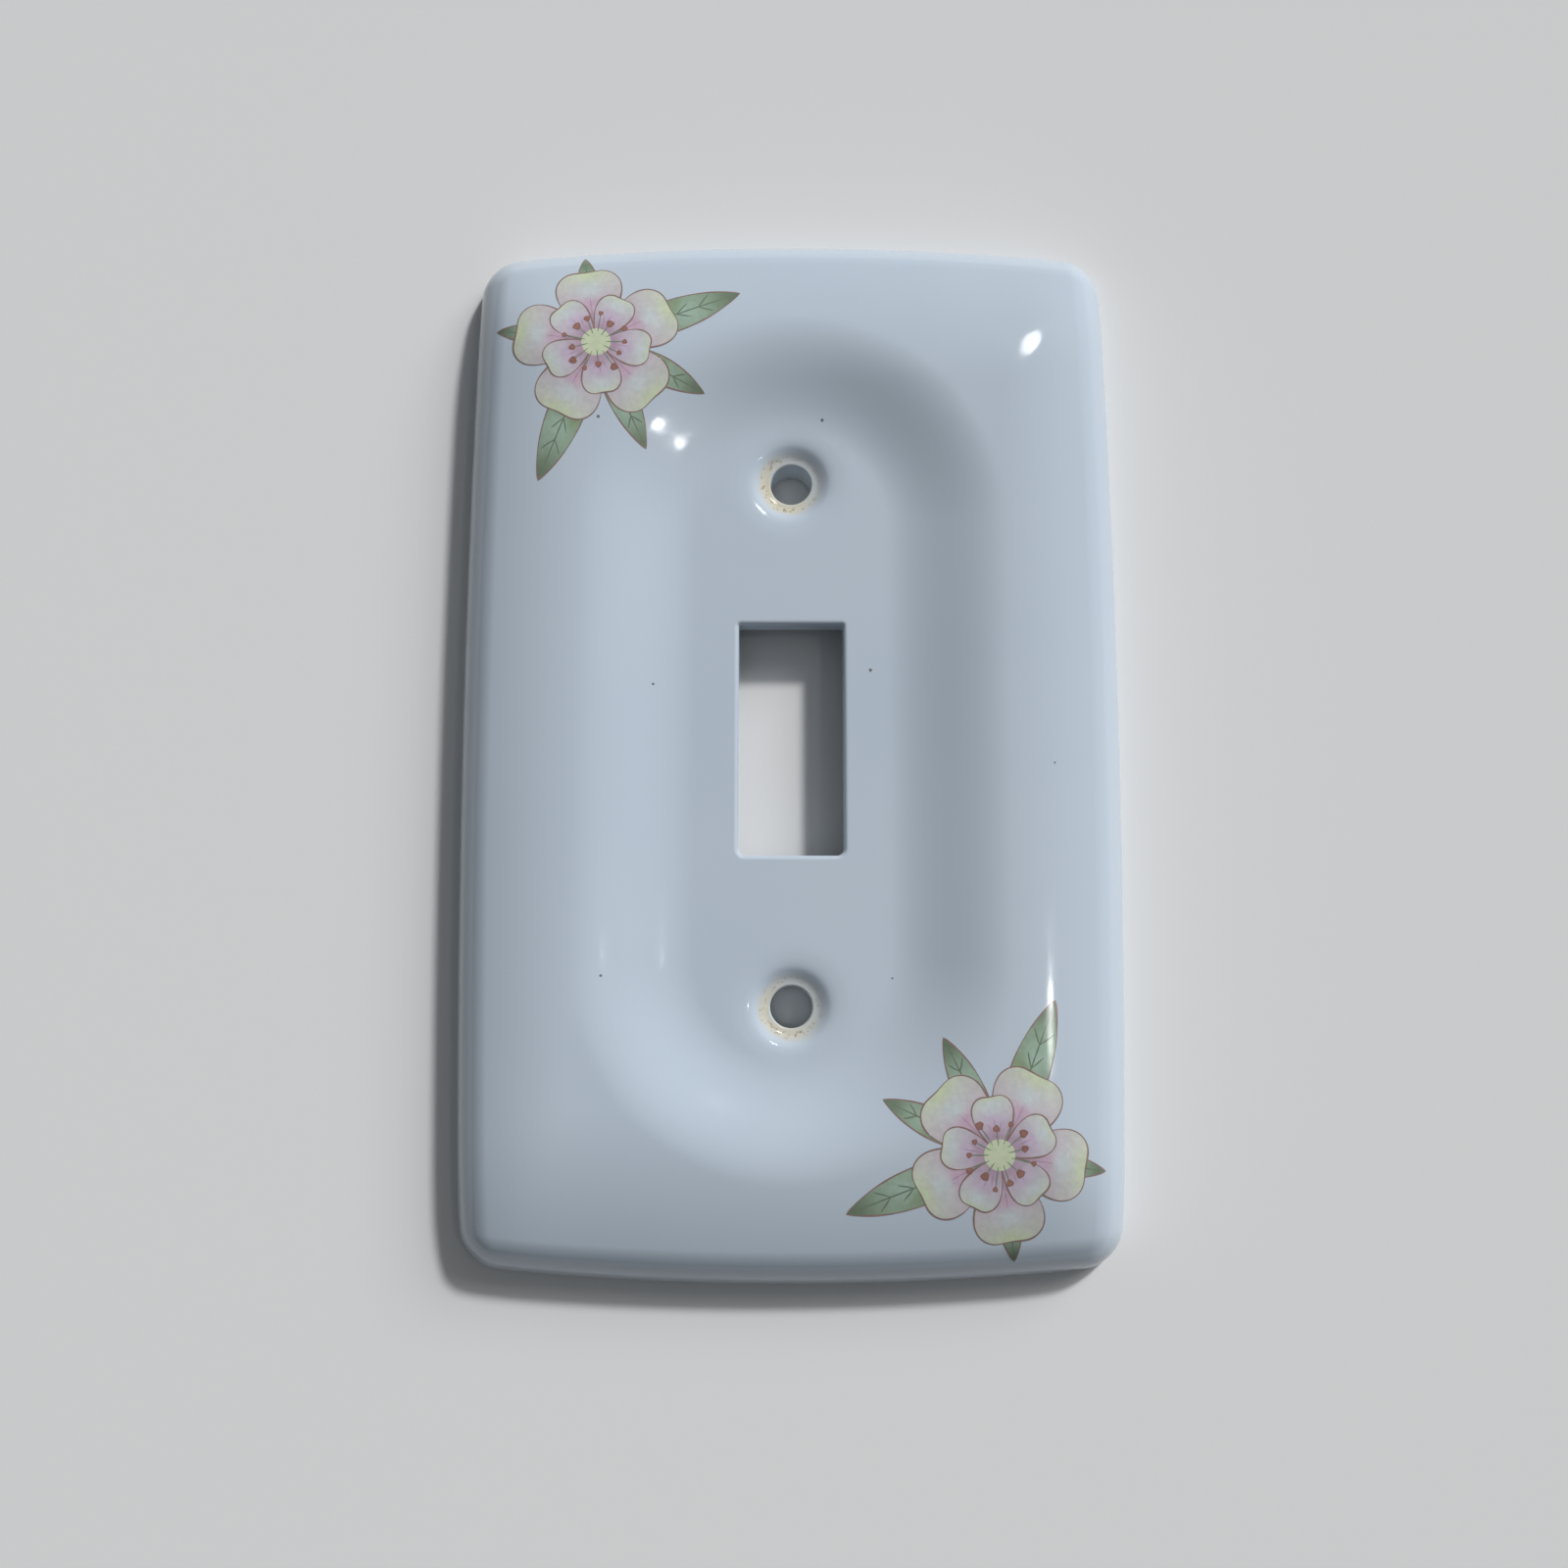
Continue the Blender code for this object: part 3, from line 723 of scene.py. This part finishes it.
def follow_glaze(mesh, points, chosen):
    """Smooth shading, with the exact normals of the glaze on the chosen faces."""
    mesh.shade_smooth()
    mesh.set_sharp_from_angle(angle=SHARP_ANGLE)
    corners = np.empty(len(mesh.loops) * 3)
    mesh.corner_normals.foreach_get("vector", corners)
    corners = corners.reshape(-1, 3)
    at = np.empty(len(mesh.loops), int)
    mesh.loops.foreach_get("vertex_index", at)
    sides = np.empty(len(mesh.polygons), int)
    mesh.polygons.foreach_get("loop_total", sides)
    on_glaze = np.repeat(np.asarray(chosen), sides)
    points = np.asarray(points)
    normals = face_normal(points[:, 0], points[:, 1])
    corners[on_glaze] = normals[at[on_glaze]]
    mesh.normals_split_custom_set(corners.tolist())


def leaf_colours(heading, length):
    """Darker at the tip and the root, with a warmer side."""
    stops = ((0.35, 0.0, LEAF_DARK), (0.6, 0.0, LEAF), (0.55, 0.12, LEAF_WARM), (1.0, 0.0, LEAF_DARK))
    return [(outwards(share * length, heading + aside), colour) for share, aside, colour in stops]


def leaf_veins(heading, length):
    """A midrib with a pair of short side veins off it."""
    runs = [[outwards(share * length, heading) for share in (0.4, 0.65, 0.92)]]
    for share in (0.55, 0.7):
        for side in (1, -1):
            runs.append([outwards(share * length, heading),
                         outwards((share + 0.05) * length, heading + side * 0.05),
                         outwards((share + 0.09) * length, heading + side * 0.08)])
    return runs


def petal_veins(heading, length):
    """Three fine strokes that fan out from the middle of the flower."""
    strokes = ((-0.42, 0.526), (0.0, 0.58), (0.42, 0.526))
    return [[outwards(share * length, heading + fan * share) for share in (0.22, 0.4, end)]
            for fan, end in strokes]


def spray(prefix, turned, node, fills_material, lines_material):
    fills, lines = Skin(turned), Skin(turned)
    layer = 0

    def shape(ring, stops, strokes, colour):
        nonlocal layer
        layer += 1
        fills.fill(ring, stops, layer * LAYER)
        for run in strokes:
            lines.line(bend(run, STROKE_STEP), VEIN_WIDTH, colour, (layer + 0.4) * LAYER)
        lines.line(ring, OUTLINE_WIDTH, OUTLINE, (layer + 0.5) * LAYER, closed=True)

    for side in (1, -1):
        for off, length in LEAVES:
            heading = SPRAY_DIAGONAL + side * off
            shape(leaf_outline(heading, length), leaf_colours(heading, length),
                  leaf_veins(heading, length), LEAF_DARK)
    for reach, half_width, turn, stops in PETAL_RINGS:
        for number in range(PETALS):
            heading = SPRAY_DIAGONAL + 2 * pi * number / PETALS + turn
            colours = [(outwards(share * reach, heading), colour) for share, colour in stops]
            shape(petal_outline(heading, reach, half_width), colours,
                  petal_veins(heading, reach), DEEP_PINK)
    layer += 1
    around = np.linspace(0, 2 * pi, HEART_POINTS, endpoint=False)
    heart = outwards(np.full_like(around, HEART_RADIUS), around)
    fills.fill(heart, [(np.zeros(2), YELLOW)], layer * LAYER)
    for number in range(STAMEN_COUNT):
        heading = 2 * pi * number / STAMEN_COUNT
        reach = STAMEN_REACH * (1 + 0.16 * sin(2.4 * number))
        run = [outwards(share * reach, heading) for share in (0.35, 0.7, 1.0)]
        lines.line(bend(run, STROKE_STEP), STAMEN_WIDTH, STEM, (layer + 1) * LAYER)
        lines.dot(*run[-1], ANTHER_RADIUS + 0.08 * (number % 3), STAMEN, (layer + 2) * LAYER)
    for part, skin, given in (("fills", fills, fills_material), ("lines", lines, lines_material)):
        made = make_object(prefix + "_" + part, skin.points, skin.faces, [given])
        attribute = made.data.color_attributes.new("paint", "FLOAT_COLOR", "POINT")
        values = np.concatenate([np.array(skin.colours), np.ones((len(skin.colours), 1))], axis=1)
        attribute.data.foreach_set("color", values.ravel())
        follow_glaze(made.data, skin.points, skin.on_top)
        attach(made, "root")
        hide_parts(node)


# ------------------------------------------------------------------------ the pieces
def make_plate():
    built = build_body()
    marks = np.array(built.marks)
    made = make_object("glazed_porcelain_plate", built.points, built.faces,
                       [glazed_porcelain(), bare_foot()], np.where(marks == FOOT, 1, 0).tolist())
    follow_glaze(made.data, built.points, marks == FRONT)
    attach(made, "root")
    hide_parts("porcelain_plate")


# Roughness and unevenness of the two kinds of paint.
FILL_FINISH, LINE_FINISH = (0.08, 0.05), (0.10, 0.10)

make_plate()
spray("upper_left_spray", False, "upper_left_floral_transfer",
      painted_enamel("upper_petal_paint", *FILL_FINISH),
      painted_enamel("upper_line_paint", *LINE_FINISH))
spray("lower_right_spray", True, "lower_right_floral_transfer",
      painted_enamel("lower_petal_paint", *FILL_FINISH),
      painted_enamel("lower_line_paint", *LINE_FINISH))


# ------------------------------------------------------------------------ floor, light and camera
FLOOR_HALF, FLOOR_GREY, FLOOR_ROUGHNESS = 1500.0, 0.86, 0.8
# Each light's name, strength, angular size in degrees, and direction towards it.
LIGHTS = (
    ("key", 1.84, 6.0, (0.49, 0.61, 0.62)),
    ("broad", 1.10, 30.0, (0.62, 0.58, 0.53)),
    ("window", 0.25, 9.0, (0.27, 0.56, 0.78)),
    ("glint", 0.05, 2.2, (0.40, -0.01, 0.92)),
)
# The key and the broad light are not mirrored in the glaze, and the window is only mirrored.
MIRRORED, ONLY_MIRRORED = ("window", "glint"), ("window",)
# The sky's strength rises from the first value to the second as it faces SKY_TOWARDS.
SKY_COLOUR, SKY_TOWARDS = (0.93, 0.97, 1.0, 1), (0.30, 0.30, 0.905)
SKY_FACING, SKY_STRENGTH = (0.0, 0.85), (0.045, 0.17)
CAMERA_AT, CAMERA_TILT = (-0.00079, -0.0302, 0.1905), radians(7.73)
SENSOR_WIDTH, FOCAL_LENGTH = 36, 37.8


def make_floor():
    surface = Nodes("pale_floor")
    surface.shader.inputs["Base Color"].default_value = (FLOOR_GREY, FLOOR_GREY, FLOOR_GREY, 1)
    surface.shader.inputs["Roughness"].default_value = FLOOR_ROUGHNESS
    corners = [(x * FLOOR_HALF, y * FLOOR_HALF, 0) for x, y in ((-1, -1), (1, -1), (1, 1), (-1, 1))]
    made = make_object("floor", corners, [(0, 1, 2, 3)], [surface.material])


def make_light():
    for name, energy, size, towards in LIGHTS:
        lamp = bpy.data.lights.new(name, "SUN")
        lamp.energy = energy
        lamp.angle = radians(size)
        made = bpy.data.objects.new(name, lamp)
        made.rotation_euler = Vector(towards).to_track_quat("Z", "Y").to_euler()
        made.visible_glossy = name in MIRRORED
        made.visible_diffuse = name not in ONLY_MIRRORED
        bpy.context.scene.collection.objects.link(made)


def make_sky():
    world = bpy.data.worlds.new("studio")
    world.use_nodes = True
    tree = world.node_tree
    background = tree.nodes["Background"]
    background.inputs["Color"].default_value = SKY_COLOUR
    place = tree.nodes.new("ShaderNodeTexCoord")
    facing = tree.nodes.new("ShaderNodeVectorMath")
    facing.operation = "DOT_PRODUCT"
    facing.inputs[1].default_value = SKY_TOWARDS
    rise = tree.nodes.new("ShaderNodeMapRange")
    rise.interpolation_type = "SMOOTHSTEP"
    for number, value in enumerate((*SKY_FACING, *SKY_STRENGTH), start=1):
        rise.inputs[number].default_value = value
    tree.links.new(place.outputs["Generated"], facing.inputs[0])
    tree.links.new(facing.outputs["Value"], rise.inputs[0])
    tree.links.new(rise.outputs[0], background.inputs["Strength"])
    bpy.context.scene.world = world


def make_camera():
    lens = bpy.data.cameras.new("camera")
    lens.sensor_width = SENSOR_WIDTH
    lens.lens = FOCAL_LENGTH
    lens.clip_start = 0.01
    made = bpy.data.objects.new("camera", lens)
    made.location = CAMERA_AT
    made.rotation_euler = (CAMERA_TILT, 0, 0)
    bpy.context.scene.collection.objects.link(made)
    bpy.context.scene.camera = made


make_floor()
make_light()
make_sky()
make_camera()
bpy.context.scene.view_settings.view_transform = "Standard"
